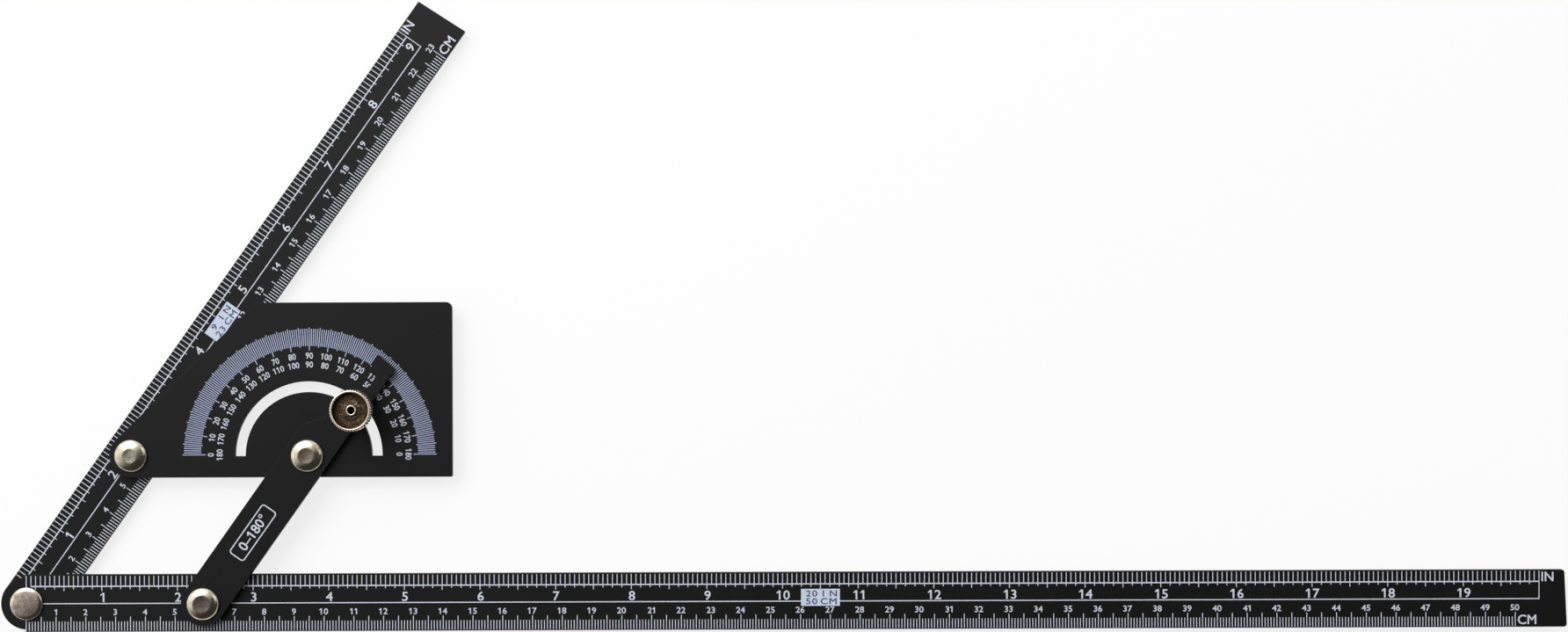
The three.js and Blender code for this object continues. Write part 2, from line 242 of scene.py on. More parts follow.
# Camera, fitted to the photograph
CAMERA_PLACE = Vector((254.5, 95.65, 706)) * MM
CAMERA_TURN = math.radians(-0.2)
SENSOR_WIDTH = 36 # millimetres, as the lens is
PICTURE_WIDTH = 1784 # pixels
PIXELS_PER_METRE = 3388 # at the long ruler's top face


def linear(hex_colour):
    """An sRGB hex colour as the linear values that Blender's sockets take."""
    channels = [int(hex_colour[start:start + 2], 16) / 255 for start in (1, 3, 5)]
    return [c / 12.92 if c <= 0.04045 else ((c + 0.055) / 1.055) ** 2.4 for c in channels] + [1.0]


def add(tree, kind, sockets=None, **settings):
    """Adds a node. Settings are its properties. A socket takes a value or another node's output."""
    node = tree.nodes.new(kind)
    for name, value in settings.items():
        setattr(node, name, value)
    for name, value in (sockets or {}).items():
        if isinstance(value, bpy.types.NodeSocket):
            tree.links.new(value, node.inputs[name])
        else:
            node.inputs[name].default_value = value
    return node


def empty_tree(owner):
    """The node tree of a new material or world, without the nodes that it starts with."""
    owner.use_nodes = True
    owner.node_tree.nodes.clear()
    return owner.node_tree


def new_material(name):
    """A bare material, its node tree, and the place on the piece that its patterns read."""
    made = bpy.data.materials.new(name)
    tree = empty_tree(made)
    return made, tree, add(tree, "ShaderNodeTexCoord").outputs["Object"]


def finish_material(tree, sockets):
    """Ends a material in one Principled shader with these sockets."""
    shader = add(tree, "ShaderNodeBsdfPrincipled", sockets)
    add(tree, "ShaderNodeOutputMaterial", {"Surface": shader.outputs["BSDF"]})


def black_anodised(name, turn):
    """Black anodised aluminium sheet, rolled and dyed: satin black, with a faint grain along it."""
    made, tree, place = new_material(name)
    along = add(tree, "ShaderNodeMapping", {"Vector": place, "Rotation": (0, 0, -turn)})
    stretched = add(tree, "ShaderNodeMapping", {
        "Vector": along.outputs["Vector"],
        "Scale": (1 / GRAIN_LENGTH, 1 / GRAIN_WIDTH, 1 / GRAIN_WIDTH),
    })
    grain = add(tree, "ShaderNodeTexNoise", {
        "Vector": stretched.outputs["Vector"], "Scale": 1.0, "Detail": 3.0,
    })
    cloud = add(tree, "ShaderNodeTexNoise", {
        "Vector": place, "Scale": 1 / SATIN_CLOUD, "Detail": 2.0,
    })
    pits = add(tree, "ShaderNodeTexNoise", {
        "Vector": place, "Scale": 1 / SATIN_PIT, "Detail": 2.0,
    })
    tone = add(tree, "ShaderNodeMix", {
        MIX_SHARE: grain.outputs["Fac"], MIX_FROM: linear("#09090a"), MIX_TO: linear("#101011"),
    }, data_type="RGBA")
    gloss = add(tree, "ShaderNodeMapRange", {
        "Value": cloud.outputs["Fac"], "To Min": 0.40, "To Max": 0.52,
    })
    bump = add(tree, "ShaderNodeBump", {
        "Height": pits.outputs["Fac"], "Strength": 0.25, "Distance": SATIN_PIT_DEPTH,
    })
    finish_material(tree, {
        "Base Color": tone.outputs[MIXED], "Roughness": gloss.outputs["Result"],
        "Normal": bump.outputs["Normal"], "IOR": 1.5, "Specular IOR Level": 0.2,
    })
    return made


def screen_print(name, colour, shade):
    """Screen-printing ink: a thin matt layer, a little uneven where the mesh left less of it."""
    made, tree, place = new_material(name)
    patches = add(tree, "ShaderNodeTexNoise", {
        "Vector": place, "Scale": 1 / INK_PATCH, "Detail": 3.0,
    })
    cover = add(tree, "ShaderNodeMapRange", {
        "Value": patches.outputs["Fac"], "From Min": 0.35, "From Max": 0.65,
    })
    tone = add(tree, "ShaderNodeMix", {
        MIX_SHARE: cover.outputs["Result"], MIX_FROM: linear(shade), MIX_TO: linear(colour),
    }, data_type="RGBA")
    finish_material(tree, {"Base Color": tone.outputs[MIXED], "Roughness": 0.6, "IOR": 1.48})
    return made


def nickel_plate(name, bright, dull, dented=0.6, roughness=0.14):
    """Nickel-plated steel, tumbled: warm metal with small dents, dulled in patches by scuffs."""
    made, tree, place = new_material(name)
    dents = add(tree, "ShaderNodeTexNoise", {
        "Vector": place, "Scale": 1 / DENT, "Detail": 4.0, "Roughness": 0.6,
    })
    scuffs = add(tree, "ShaderNodeTexNoise", {
        "Vector": place, "Scale": 1 / SCUFF, "Detail": 5.0, "Roughness": 0.7,
    })
    patches = add(tree, "ShaderNodeMapRange", {
        "Value": scuffs.outputs["Fac"], "From Min": 0.4, "From Max": 0.62,
    })
    tone = add(tree, "ShaderNodeMix", {
        MIX_SHARE: patches.outputs["Result"], MIX_FROM: linear(bright), MIX_TO: linear(dull),
    }, data_type="RGBA")
    gloss = add(tree, "ShaderNodeMapRange", {
        "Value": patches.outputs["Result"],
        "To Min": roughness, "To Max": roughness + SCUFF_ROUGHENS,
    })
    bump = add(tree, "ShaderNodeBump", {
        "Height": dents.outputs["Fac"], "Strength": dented, "Distance": DENT_DEPTH,
    })
    finish_material(tree, {
        "Base Color": tone.outputs[MIXED], "Metallic": 1.0, "Roughness": gloss.outputs["Result"],
        "Normal": bump.outputs["Normal"],
    })
    return made


def turned_recess(name, centre):
    """The turned floor of the knob under thin plating: brown metal with faint tool rings, painted dark
    for the shade and the dark reflection down in the recess, and scratched by fingers and tools in its middle and
    less towards its corner, so that its corner is painted darker as shade."""
    made, tree, place = new_material(name)
    centred = add(tree, "ShaderNodeMapping", {
        "Vector": place, "Location": (-centre.x, -centre.y, 0),
    }).outputs["Vector"]
    # a wave texture has 10 / pi rings in each unit
    rings = add(tree, "ShaderNodeTexWave", {
        "Vector": centred, "Scale": math.pi / 10 / TOOL_RING, "Distortion": 1.5, "Detail": 2.0,
        "Detail Scale": 300.0,
    }, wave_type="RINGS", rings_direction="Z")
    stain = add(tree, "ShaderNodeTexNoise", {"Vector": place, "Scale": 1 / STAIN, "Detail": 4.0})
    scratches = add(tree, "ShaderNodeTexNoise", {
        "Vector": place, "Scale": 1 / SCRATCH, "Detail": 3.0, "Distortion": 2.0,
    })
    flattened = add(tree, "ShaderNodeVectorMath", {0: centred, 1: (1, 1, 0)}, operation="MULTIPLY")
    reach = add(tree, "ShaderNodeVectorMath", {
        0: flattened.outputs["Vector"],
    }, operation="LENGTH")
    # the pale scratches fade out towards the wall, painting the recess's corner darker as shade
    middle = add(tree, "ShaderNodeMapRange", {
        "Value": reach.outputs["Value"], "From Min": SCRATCHED_MIDDLE, "From Max": SCRATCHES_END_IN_SHADE,
        "To Min": 1.0, "To Max": 0.1,
    })
    marks = add(tree, "ShaderNodeMapRange", {
        "Value": scratches.outputs["Fac"], "From Min": 0.53, "From Max": 0.66,
    })
    bare = add(tree, "ShaderNodeMath", {
        0: marks.outputs["Result"], 1: middle.outputs["Result"],
    }, operation="MULTIPLY")
    # two dark browns that are painted shade and a painted dark reflection, mixed at random where the plating is
    # thinner
    stain_and_painted_shade = add(tree, "ShaderNodeMix", {
        MIX_SHARE: stain.outputs["Fac"], MIX_FROM: linear("#291a0e"), MIX_TO: linear("#4a3927"),
    }, data_type="RGBA")
    tone = add(tree, "ShaderNodeMix", {
        MIX_SHARE: bare.outputs[0], MIX_FROM: stain_and_painted_shade.outputs[MIXED],
        MIX_TO: linear("#a3927f"),
    }, data_type="RGBA")
    gloss = add(tree, "ShaderNodeMapRange", {
        "Value": rings.outputs["Fac"], "To Min": 0.25, "To Max": 0.5,
    })
    bump = add(tree, "ShaderNodeBump", {
        "Height": rings.outputs["Fac"], "Strength": 0.5, "Distance": TOOL_RING_DEPTH,
    })
    finish_material(tree, {
        "Base Color": tone.outputs[MIXED], "Metallic": 1.0, "Roughness": gloss.outputs["Result"],
        "Normal": bump.outputs["Normal"],
    })
    return made


def oiled_steel(name):
    """The cut end of the screw: bare steel with an uneven film of oil, painted near-black as shade down in the
    knob's eye.
    """
    made, tree, place = new_material(name)
    film = add(tree, "ShaderNodeTexNoise", {"Vector": place, "Scale": 1 / OIL_FILM, "Detail": 3.0})
    tone = add(tree, "ShaderNodeMix", {
        MIX_SHARE: film.outputs["Fac"], MIX_FROM: linear("#1c130c"), MIX_TO: linear("#36281c"),
    }, data_type="RGBA")
    finish_material(tree, {"Base Color": tone.outputs[MIXED], "Metallic": 1.0, "Roughness": 0.45})
    return made


def zinc_plate(name):
    """Bright zinc-plated steel: cool grey metal, a little cloudy."""
    made, tree, place = new_material(name)
    cloud = add(tree, "ShaderNodeTexNoise", {
        "Vector": place, "Scale": 1 / ZINC_CLOUD, "Detail": 4.0,
    })
    tone = add(tree, "ShaderNodeMix", {
        MIX_SHARE: cloud.outputs["Fac"], MIX_FROM: linear("#a9adb2"), MIX_TO: linear("#cbd0d6"),
    }, data_type="RGBA")
    gloss = add(tree, "ShaderNodeMapRange", {
        "Value": cloud.outputs["Fac"], "To Min": 0.28, "To Max": 0.45,
    })
    finish_material(tree, {
        "Base Color": tone.outputs[MIXED], "Metallic": 1.0, "Roughness": gloss.outputs["Result"],
    })
    return made


def nylon(name):
    """Natural nylon sheet: off-white, waxy, and slightly translucent."""
    made, tree, place = new_material(name)
    cloud = add(tree, "ShaderNodeTexNoise", {
        "Vector": place, "Scale": 1 / NYLON_CLOUD, "Detail": 2.0,
    })
    tone = add(tree, "ShaderNodeMix", {
        MIX_SHARE: cloud.outputs["Fac"], MIX_FROM: linear("#d8d2c2"), MIX_TO: linear("#ece8dc"),
    }, data_type="RGBA")
    finish_material(tree, {
        "Base Color": tone.outputs[MIXED], "Roughness": 0.45, "IOR": 1.53,
        "Subsurface Weight": 0.2, "Subsurface Scale": NYLON_GLOW_DEPTH,
    })
    return made


def finish_piece(name, bm, materials, body, replaced=None):
    """Makes a finished bmesh a smooth-shaded piece on a body, which may stand for a CAD node."""
    mesh = bpy.data.meshes.new(name)
    bm.to_mesh(mesh)
    bm.free()
    mesh.shade_smooth()
    mesh.set_sharp_from_angle(angle=RIM_ANGLE + FLAT_ANGLE)
    for material in materials:
        mesh.materials.append(material)
    made = bpy.data.objects.new(name, mesh)
    bpy.context.scene.collection.objects.link(made)
    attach(made, body)
    if replaced:
        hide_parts(replaced)
    return made


def round_rims(bm, rounding):
    """Eases each edge of a solid where its faces meet at more than the rim angle."""
    rims = [edge for edge in bm.edges if edge.calc_face_angle(0) > RIM_ANGLE]
    bmesh.ops.bevel(bm, geom=rims, offset=rounding, segments=EDGE_SEGMENTS, profile=0.5,
        affect="EDGES", material=-1, clamp_overlap=False)


def eased_copy(node, material, rounding):
    """A copy of a CAD node with its faces joined and its edges eased, which stands for it."""
    bm = bmesh.new()
    bm.from_mesh(frame["nodes"][node].data)
    bmesh.ops.remove_doubles(bm, verts=bm.verts, dist=WELD)
    bmesh.ops.dissolve_limit(bm, angle_limit=FLAT_ANGLE, verts=bm.verts, edges=bm.edges)
    round_rims(bm, rounding)
    made = finish_piece(f"{node}_finished", bm, [material], BODY_OF[node], node)
    flats = made.modifiers.new("flats", "WEIGHTED_NORMAL")
    flats.keep_sharp = True
    return made


def clamp_screw(plate, bare):
    """The clamp screw, plated but for the end that was cut to length, which is painted dark as shade in the knob's
    eye.
    """
    made = eased_copy("clamp_screw", plate, WASHER_ROUNDING)
    made.data.materials.append(bare)
    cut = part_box("clamp_screw")[1].z - SCREW_CUT
    # the cut end takes the steel that is painted dark as shade
    for face in made.data.polygons:
        if face.center.z > cut:
            face.material_index = 1


def turned(profile, centre, floor, steps):
    """A solid turned about a vertical axis from a profile of radius and height above the floor."""
    bm = bmesh.new()
    points = [
        bm.verts.new((centre.x + radius, centre.y, floor + height)) for radius, height in profile
    ]
    lines = [bm.edges.new(pair) for pair in zip(points, points[1:])]
    bmesh.ops.spin(bm, geom=points + lines, cent=centre.to_3d(), axis=(0, 0, 1),
        angle=2 * math.pi, steps=steps, use_merge=True)
    bmesh.ops.remove_doubles(bm, verts=bm.verts, dist=WELD)
    bmesh.ops.recalc_face_normals(bm, faces=bm.faces)
    return bm


def flat_head(radius, seat):
    """A pancake head with a bevelled rim and a slightly crowned top."""
    top = seat + FLAT_HEAD_HEIGHT
    inner = radius - FLAT_HEAD_BEVEL
    crown = [(inner * share, top - FLAT_HEAD_CROWN * share ** 2) for share in TOP_SHARES]
    return [(radius, seat), (radius, top - FLAT_HEAD_BEVEL)] + crown


def domed_head(radius, seat, flat):
    """A head whose shoulder is domed up to a dished middle of that flat radius."""
    top = seat + DOMED_HEAD_HEIGHT
    drop = DOMED_HEAD_HEIGHT - DOME_RIM
    shoulder = [
        (flat + (radius - flat) * out, top - drop * down) for out, down in reversed(DOME_SHOULDER)
    ]
    crease = [(flat + DOME_CREASE, top - DOME_CREASE * DOME_SHOULDER[0][1])]
    inner = flat - DOME_CREASE
    dish = [(inner * share, top - DISH_DEPTH * (1 - share ** 2)) for share in TOP_SHARES]
    return [(radius, seat), (radius, seat + DOME_RIM)] + shoulder + crease + dish


def rivet(node, plate, flat_top_material, flat_share=None):
    """A set rivet: a turned tail below, a plain shank, and a head whose flat middle takes its own material,
    scuffed on some heads and on others partly worn, partly painted darker as a dark reflection of the room above.
    The head is domed if the share of its radius that is flat is given."""
    low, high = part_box(node)
    centre = ((low + high) / 2).to_2d()
    radius = (high.x - low.x) / 2
    if flat_share is None:
        flat = radius - FLAT_HEAD_BEVEL
        seat = high.z - low.z - FLAT_HEAD_HEIGHT
        head = flat_head(radius, seat)
    else:
        flat = radius * flat_share
        seat = high.z - low.z - DOMED_HEAD_HEIGHT
        head = domed_head(radius, seat, flat)
    profile = [
        (0, 0),
        (TAIL_RADIUS - TAIL_BEVEL, 0),
        (TAIL_RADIUS, TAIL_BEVEL),
        (TAIL_RADIUS, TAIL_HEIGHT),
        (SHANK_RADIUS, TAIL_HEIGHT),
        (SHANK_RADIUS, seat),
    ] + head
    bm = turned(profile, centre, low.z, ROUND_STEPS)
    round_rims(bm, HEAD_ROUNDING)
    # the flat middle takes the second material, which on two heads is painted darker as a dark reflection
    for face in bm.faces:
        middle = face.calc_center_median()
        on_top = middle.z > low.z + seat + DOME_RIM
        if on_top and (middle.to_2d() - centre).length < flat:
            face.material_index = 1
    finish_piece(f"{node}_turned", bm, [plate, flat_top_material], BODY_OF[node], node)


def lock_knob(plate, recess):
    """The lock knob: a knurled cup on a boss, its recess turned round a raised eye."""
    low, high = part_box("lock_knob")
    centre = ((low + high) / 2).to_2d()
    height = high.z - low.z
    radius = (high.x - low.x) / 2
    head_floor = height - KNOB_HEAD_HEIGHT
    floor = height - RECESS_DEPTH
    wall = radius - KNOB_RIM
    profile = [
        (KNOB_BORE, 0),
        (KNOB_BOSS_RADIUS - KNOB_BEVEL, 0),
        (KNOB_BOSS_RADIUS, KNOB_BEVEL),
        (KNOB_BOSS_RADIUS, head_floor),
        (radius - KNOB_BEVEL, head_floor),
        (radius, head_floor + KNOB_BEVEL),
        (radius, height - KNOB_BEVEL),
        (radius - KNOB_BEVEL, height),
        (wall, height),
        (wall - RECESS_DRAFT, floor),
        (LIP_RADIUS, floor),
        (LIP_RADIUS, floor + LIP_HEIGHT),
        (EYE_RADIUS, floor + LIP_HEIGHT),
        (EYE_RADIUS, floor - WEB),
        (KNOB_BORE, floor - WEB),
        (KNOB_BORE, 0),
    ]
    bm = turned(profile, centre, low.z, KNURL_COUNT * KNURL_STEPS)
    round_rims(bm, KNOB_ROUNDING)
    for vert in bm.verts:
        out = vert.co.to_2d() - centre
        share = (out.length - radius + KNOB_BEVEL) / KNURL_FADE
        if share > 0 and vert.co.z > low.z + head_floor - WELD:
            turn = math.atan2(out.y, out.x) * KNURL_COUNT
            groove = KNURL_DEPTH * (0.5 - 0.5 * math.cos(turn)) * min(share, 1)
            vert.co -= (out.normalized() * groove).to_3d()
    # the recess and the hole in its eye take the material that is painted dark as their shade
    for face in bm.faces:
        middle = face.calc_center_median()
        reach = (middle.to_2d() - centre).length
        rise = middle.z - low.z - floor
        below_rim = -KNOB_ROUNDING < rise < RECESS_DEPTH - KNOB_ROUNDING
        in_recess = LIP_RADIUS < reach < wall and below_rim
        in_eye = reach < EYE_RADIUS + WELD and rise < LIP_HEIGHT - KNOB_ROUNDING
        if in_recess or in_eye:
            face.material_index = 1
    finish_piece("lock_knob_turned", bm, [plate, recess], BODY_OF["lock_knob"], "lock_knob")


def at(x, y=0.0, turn=0.0):
    """A place in a leaf's plane, turned about its own upright axis."""
    return Matrix.Translation((x, y, 0)) @ Matrix.Rotation(turn, 4, "Z")


def bar(bm, place, start, end, width, height=INK_HEIGHT):
    """Prints a straight bar along the place's X axis, from start to end."""
    size = Matrix.Diagonal((end - start, width, height, 1))
    middle = Matrix.Translation(((start + end) / 2, 0, height / 2))
    bmesh.ops.create_cube(bm, size=1, matrix=place @ middle @ size)


def raise_faces(bm, faces, height):
    """Makes flat faces a solid of that height."""
    raised = bmesh.ops.extrude_face_region(bm, geom=faces)["geom"]
    top = [part for part in raised if isinstance(part, bmesh.types.BMVert)]
    bmesh.ops.translate(bm, vec=(0, 0, height), verts=top)


def fatten(letters):
    """Moves each wall of the letters out by the boldness. A corner goes to where two walls meet."""
    letters.normal_update()
    moves = {}
    for vert in letters.verts:
        normals = [face.normal for face in vert.link_faces]
        walls = [normal for normal in normals if abs(normal.z) < normal.to_2d().length]
        moves[vert] = (walls[0] + walls[-1]) * BOLDNESS / (1 + walls[0].dot(walls[-1]))
    for vert, move in moves.items():
        vert.co += move


def glyphs(text, spacing):
    """The built-in font's solid letters for a size of 1, standing on its base line, 1 high."""
    curve = bpy.data.curves.new("lettering", "FONT")
    curve.body = text
    curve.extrude = 0.5
    curve.resolution_u = GLYPH_STEPS
    curve.space_character = spacing
    holder = bpy.data.objects.new("lettering", curve)
    mesh = bpy.data.meshes.new_from_object(holder)
    mesh.transform(Matrix.Translation((0, 0, curve.extrude)))
    letters = bmesh.new()
    letters.from_mesh(mesh)
    bmesh.ops.remove_doubles(letters, verts=letters.verts, dist=GLYPH_WELD)
    fatten(letters)
    bpy.data.objects.remove(holder)
    bpy.data.curves.remove(curve)
    bpy.data.meshes.remove(mesh)
    return letters


def right_edge(letters):
    """How far the letters reach along their line."""
    return max(vert.co.x for vert in letters.verts)


def flag_on_one(letters, stem):
    """Adds the slanted stroke at the top of a figure one whose stem's left side is there."""
    corners = [letters.verts.new((stem + x, y, 0)) for x, y in FLAG_ON_ONE]
    raise_faces(letters, [letters.faces.new(corners)], 1)


def lettering(bm, place, text, capital, height=INK_HEIGHT, spacing=1.0, width=1.0):
    """Prints text centred on the place, along its X axis, with capitals of that height."""
    letters = glyphs(text, spacing)
    right = right_edge(letters)
    for index, sign in enumerate(text):
        if sign == "1":
            so_far = glyphs(text[:index + 1], spacing)
            flag_on_one(letters, right_edge(so_far) - STEM_OF_ONE - 2 * BOLDNESS)
            so_far.free()
    left = min(vert.co.x for vert in letters.verts)
    bmesh.ops.recalc_face_normals(letters, faces=letters.faces)
    middle = Matrix.Translation((-(left + right) / 2, -FONT_CAPITAL / 2, 0))
    scale = capital / FONT_CAPITAL
    size = Matrix.Diagonal((scale * width, scale, height, 1))
    bmesh.ops.transform(letters, matrix=place @ size @ middle, verts=letters.verts)
    mesh = bpy.data.meshes.new("lettering")
    letters.to_mesh(mesh)
    letters.free()
    bm.from_mesh(mesh)
    bpy.data.meshes.remove(mesh)


def finish_print(name, bm, material, node, place):
    """Lays a print, made on its own plane, on the top face of a leaf."""
    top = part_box(node)[1].z
    bmesh.ops.transform(bm, matrix=Matrix.Translation((0, 0, top)) @ place, verts=bm.verts)
    finish_piece(name, bm, [material], BODY_OF[node])


def ruler_print(node, turn, inches, centimetres, ink, panel_inks):
    """A ruler's scales, inches along one edge and centimetres along the other, and its panel."""
    last_inch = inches * INCH
    bm = bmesh.new()
    for step in range(FIRST_SIXTEENTH[node], inches * SIXTEENTHS + 1):
        if step % HALF_INCH == 0:
            end = HALF_END
        elif step % EIGHTH_INCH == 0:
            end = EIGHTH_END
        else:
            end = INCH_BASE
        bar(bm, at(step * INCH / SIXTEENTHS, 0, ACROSS), end, INCH_TICK_TOP, INCH_TICK_WIDTH)
    for step in range(centimetres * 10 + 1):
        end = FIVE_MM_TICK_END if step % 5 == 0 else MM_TICK_END
        bar(bm, at(step * MM, 0, ACROSS), -CM_TICK_FOOT, -end, CM_TICK_WIDTH)
    bar(bm, at(0, INCH_BASE), INCH / SIXTEENTHS, last_inch, INCH_BASE_WIDTH, LINE_HEIGHT)
    bar(bm, at(0), 0, last_inch + INCH_TICK_WIDTH / 2, MIDDLE_LINE_WIDTH, LINE_HEIGHT)
    bar(bm, at(last_inch, 0, ACROSS), 0, INCH_BASE, INCH_TICK_WIDTH, CLOSING_HEIGHT)

    inch_numerals = [
        (number, number * INCH + INCH_NUMERAL_ON, INCH_NUMERAL_MIDDLE)
        for number in range(1, inches)
    ]
    if inches < 10: # one digit fits in before the closing line
        inch_numerals.append(
            (inches, last_inch - LAST_NUMERAL_BACK, INCH_NUMERAL_MIDDLE + LAST_NUMERAL_RISE))
    for number, x, y in inch_numerals:
        lettering(bm, at(x, y), str(number), INCH_NUMERAL, width=NUMERAL_WIDTH)
    for number in range(1, centimetres + 1):
        x = number * CM - CM_NUMERAL_BACK
        lettering(bm, at(x, -CM_NUMERAL_MIDDLE), str(number), CM_NUMERAL, width=NUMERAL_WIDTH)
    lettering(bm, at(last_inch + INCH_UNIT.x, INCH_UNIT.y), "IN", UNIT_LETTER)
    lettering(bm, at(centimetres * CM + CM_UNIT.x, CM_UNIT.y), "CM", UNIT_LETTER)
    ruler = Matrix.Translation(VERTEX.to_3d()) @ Matrix.Rotation(turn, 4, "Z")
    place = ruler @ at(PRINT_START[node], PRINT_MIDDLE)
    finish_print(f"{node}_scales", bm, ink, node, place)

    panel_ink, word_ink = panel_inks
    middle = PANEL_PLACE[node]
    half = PANEL_SIZE.x / 2
    panel = bmesh.new()
    bar(panel, at(middle, PANEL_MIDDLE), -half, half, PANEL_SIZE.y, PANEL_HEIGHT)
    finish_print(f"{node}_panel", panel, panel_ink, node, place)
    words = bmesh.new()
    for row, number, unit in ((PANEL_ROW, inches, "IN"), (-PANEL_ROW, centimetres, "CM")):
        for word, x, spacing in (
            (str(number), PANEL_NUMBER, PANEL_SPACING),
            (unit, PANEL_UNIT[unit], PANEL_UNIT_SPACING[unit]),
        ):
            lettering(words, at(middle + x, PANEL_MIDDLE + row), word, PANEL_LETTER,
                PANEL_INK_HEIGHT, spacing, PANEL_LETTER_WIDTH)
    finish_print(f"{node}_panel_lettering", words, word_ink, node, place)


def dial_print(tick_ink, number_ink):
    """The degree scale, with one row of numbers running each way."""
    place = Matrix.Translation((DIAL + DIAL_SLIP).to_3d())
    ticks = bmesh.new()
    for degree in range(DIAL_DEGREES + 1):
        if degree % 10 == 0:
            foot, top = TEN_TICK_FOOT, FIVE_TICK_TOP
        elif degree % 5 == 0:
            foot, top = FIVE_TICK_FOOT, FIVE_TICK_TOP
        else:
            foot, top = DEGREE_TICK_FOOT, DEGREE_TICK_TOP
        turn = math.radians(DIAL_DEGREES - degree)
        bar(ticks, at(0, 0, turn), foot, top, DEGREE_TICK_WIDTH)
    finish_print("dial_scale", ticks, tick_ink, "protractor_plate", place)

    numbers = bmesh.new()
    for degree in range(0, DIAL_DEGREES + 1, 10):
        turned_out = at(0, 0, math.radians(DIAL_DEGREES - degree))
        for reach, number in ((OUTER_NUMERALS, degree), (INNER_NUMERALS, DIAL_DEGREES - degree)):
            lettering(numbers, turned_out @ at(reach, 0, -ACROSS), str(number),
                DEGREE_NUMERAL, width=DEGREE_NUMERAL_WIDTH)
    finish_print("dial_numbers", numbers, number_ink, "protractor_plate", place)


def link_print(ink):
    """A plain label on the link: its range of angles in a rounded frame."""
    bm = bmesh.new()
    corners = bmesh.ops.create_grid(bm, x_segments=1, y_segments=1, size=0.5,
        matrix=Matrix.Diagonal((LABEL_SIZE.x, LABEL_SIZE.y, 1, 1)))["verts"]
    bmesh.ops.bevel(bm, geom=corners, offset=LABEL_CORNER, segments=LABEL_CORNER_STEPS,
        profile=0.5, affect="VERTICES", material=-1)
    rim = bmesh.ops.inset_region(bm, faces=bm.faces[:], thickness=LABEL_LINE,
        use_boundary=True, use_even_offset=True)["faces"]
    inside = [face for face in bm.faces if face not in rim]
    bmesh.ops.delete(bm, geom=inside, context="FACES")
    raise_faces(bm, bm.faces[:], INK_HEIGHT)
    bmesh.ops.recalc_face_normals(bm, faces=bm.faces)
    lettering(bm, at(0), "0–180°", LABEL_LETTER)
    link = Matrix.Translation(DIAL.to_3d()) @ Matrix.Rotation(OPENING, 4, "Z")
    finish_print("link_label", bm, ink, "pointer_link", link @ at(-LABEL_BACK))


def white_floor():
    """A plain white floor, which the camera and the metal see lit evenly."""
    bm = bmesh.new()
    bmesh.ops.create_grid(bm, x_segments=1, y_segments=1, size=FLOOR_REACH,
        matrix=Matrix.Translation((0, 0, -FLOOR_DROP)))
    mesh = bpy.data.meshes.new("floor")
    bm.to_mesh(mesh)
    bm.free()
    floor = bpy.data.objects.new("floor", mesh)
    bpy.context.scene.collection.objects.link(floor)

    white = bpy.data.materials.new("matt_white_paper")
    tree = empty_tree(white)
    paper = add(tree, "ShaderNodeBsdfDiffuse", {"Color": linear("#f2f2f2")})
    glow = add(tree, "ShaderNodeEmission", {"Color": linear("#ffffff"), "Strength": 1.0})
    rays = add(tree, "ShaderNodeLightPath")
    seen = add(tree, "ShaderNodeMath", {
        0: rays.outputs["Is Camera Ray"], 1: rays.outputs["Is Glossy Ray"],
    }, operation="MAXIMUM")
    seen = add(tree, "ShaderNodeMath", {
        0: seen.outputs[0], 1: rays.outputs["Is Transmission Ray"],
    }, operation="MAXIMUM")
    share = add(tree, "ShaderNodeMath", {0: seen.outputs[0], 1: FLOOR_GLOW}, operation="MULTIPLY")
    mixed = add(tree, "ShaderNodeMixShader", {
        0: share.outputs[0], 1: paper.outputs[0], 2: glow.outputs[0],
    })
    add(tree, "ShaderNodeOutputMaterial", {"Surface": mixed.outputs[0]})
    mesh.materials.append(white)


def studio_room():
    """A room that is light to the far left and along its horizon, and dark above the camera and to
    the near right, behind a plain white backdrop."""
    world = bpy.data.worlds.new("studio")
    bpy.context.scene.world = world
    tree = empty_tree(world)
    direction = add(tree, "ShaderNodeTexCoord").outputs["Generated"]
    facing = add(tree, "ShaderNodeVectorMath", {
        0: direction, 1: LIGHT_SIDE,
    }, operation="DOT_PRODUCT")
    side = add(tree, "ShaderNodeMapRange", {
        "Value": facing.outputs["Value"], "From Min": ROOM_TURN[0], "From Max": ROOM_TURN[1],
        "To Min": ROOM_LEVELS[0], "To Max": ROOM_LEVELS[1],
    }, interpolation_type="SMOOTHSTEP")
    rise = add(tree, "ShaderNodeSeparateXYZ", {"Vector": direction}).outputs["Z"]
    horizon = add(tree, "ShaderNodeMapRange", {
        "Value": rise, "From Min": HORIZON_RISE[0], "From Max": HORIZON_RISE[1],
        "To Min": HORIZON_LEVEL, "To Max": 0.0,
    }, interpolation_type="SMOOTHSTEP")
    level = add(tree, "ShaderNodeMath", {
        0: side.outputs["Result"], 1: horizon.outputs["Result"],
    }, operation="MAXIMUM")
    white = linear("#ffffff")
    room = add(tree, "ShaderNodeBackground", {"Color": white, "Strength": level.outputs[0]})
    backdrop = add(tree, "ShaderNodeBackground", {"Color": white, "Strength": 1.0})
    rays = add(tree, "ShaderNodeLightPath")
    mixed = add(tree, "ShaderNodeMixShader", {
        0: rays.outputs["Is Camera Ray"], 1: room.outputs[0], 2: backdrop.outputs[0],
    })
    add(tree, "ShaderNodeOutputWorld", {"Surface": mixed.outputs[0]})


def softboxes():
    """Soft lamps beyond the object, each facing it."""
    for name, place, side, watts in SOFTBOXES:
        lamp = bpy.data.lights.new(name, "AREA")
        lamp.size = side
        lamp.energy = watts
        holder = bpy.data.objects.new(name, lamp)
        holder.location = SOFTBOX_AIM + place
        holder.rotation_euler = (-place).to_track_quat("-Z", "Y").to_euler()
        bpy.context.scene.collection.objects.link(holder)


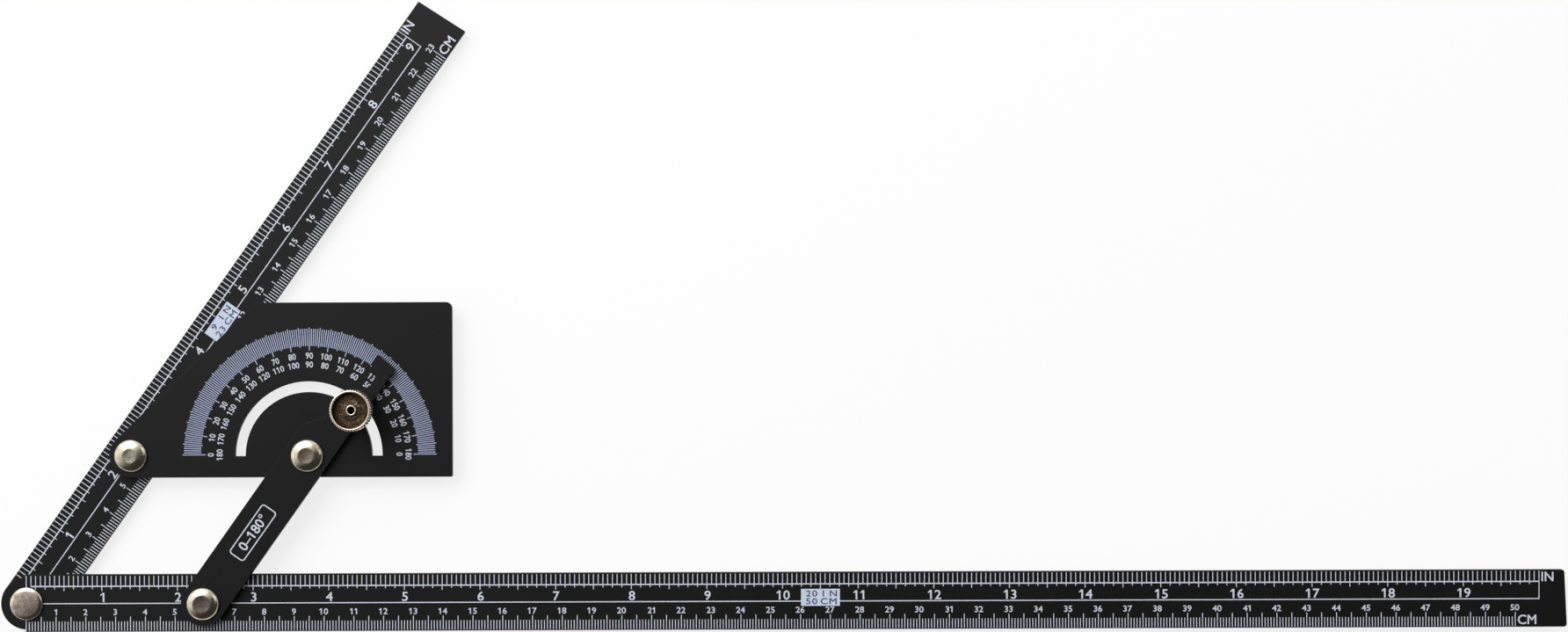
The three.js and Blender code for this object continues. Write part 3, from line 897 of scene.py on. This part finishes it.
def camera():
    """The photograph's view: straight down from 0.7 m above the ruler, its frame a hair askew."""
    distance = CAMERA_PLACE.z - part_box("long_ruler")[1].z
    lens = bpy.data.cameras.new("photo_camera")
    lens.sensor_width = SENSOR_WIDTH
    lens.lens = SENSOR_WIDTH * distance * PIXELS_PER_METRE / PICTURE_WIDTH
    holder = bpy.data.objects.new("photo_camera", lens)
    holder.location = CAMERA_PLACE
    holder.rotation_euler = (0, 0, CAMERA_TURN)
    bpy.context.scene.collection.objects.link(holder)
    bpy.context.scene.camera = holder


along_ruler = black_anodised("black_anodised_ruler", 0)
along_arm = black_anodised("black_anodised_arm", OPENING)
white_ink = screen_print("screen_print_white", "#d3d6e2", "#b9bdcb")
blue_ink = screen_print("screen_print_blue_white", "#b6bfdb", "#a1abca")
panel_inks = (
    screen_print("screen_print_pale_blue", "#c8d2e6", "#b6c2da"),
    screen_print("screen_print_slate", "#262d38", "#3a4350"),
)
nickel = nickel_plate("nickel_plate_tumbled", "#d8d0bd", "#b0a68f")
scuffed_nickel = nickel_plate("nickel_plate_scuffed", "#dccbbd", "#978a7f")
buffed_nickel = nickel_plate("nickel_plate_buffed", "#d6d0c4", "#868176", dented=0.9)
# these two are partly worn and partly painted darker than the nickel, as the dark reflection in the flat middles
# of two heads
worn_nickel_dark_reflection = nickel_plate("nickel_plate_worn_dark_reflection", "#b4a090", "#7d6e60")
rubbed_nickel_dark_reflection = nickel_plate("nickel_plate_rubbed_dark_reflection", "#a3968a", "#6f665d")
# brighter than nickel really is, as a painted highlight on the knob's rim and knurl
knob_nickel_painted_highlight = nickel_plate("nickel_plate_painted_highlight", "#f6ecdb", "#dfd0b9", 0.15, 0.2)
# the knob's recess and eye, painted dark brown as their shade and a dark reflection
recess_painted_shade = turned_recess("turned_metal_painted_shade", KNOB)
# painted near-black as shade at the screw's end in the knob's eye
screw_end_painted_shade = oiled_steel("oiled_steel_painted_shade")
zinc = zinc_plate("zinc_plate_bright")
natural_nylon = nylon("natural_nylon")

for node, material in (
    ("long_ruler", along_ruler),
    ("short_ruler", along_arm),
    ("protractor_plate", along_ruler),
    ("pointer_link", along_arm),
):
    eased_copy(node, material, LEAF_ROUNDING)
for node in frame["nodes"]:
    if node.startswith("leaf_washer") or node == "slot_washer":
        eased_copy(node, natural_nylon, WASHER_ROUNDING)
    elif node.startswith("back_washer") or node in ("clamp_washer", "knob_washer"):
        eased_copy(node, zinc, WASHER_ROUNDING)
clamp_screw(zinc, screw_end_painted_shade)
rivet("rivet_vertex", nickel, scuffed_nickel)
rivet("rivet_arm_plate", nickel, buffed_nickel, flat_share=0.45)
rivet("rivet_dial", nickel, worn_nickel_dark_reflection, flat_share=0.49)
rivet("rivet_ruler_link", nickel, rubbed_nickel_dark_reflection, flat_share=0.54)
lock_knob(knob_nickel_painted_highlight, recess_painted_shade)
ruler_print("long_ruler", 0, 20, 50, white_ink, panel_inks)
ruler_print("short_ruler", OPENING, 9, 23, white_ink, panel_inks)
dial_print(blue_ink, white_ink)
link_print(white_ink)
white_floor()
studio_room()
softboxes()
camera()
bpy.context.scene.view_settings.view_transform = "Standard"
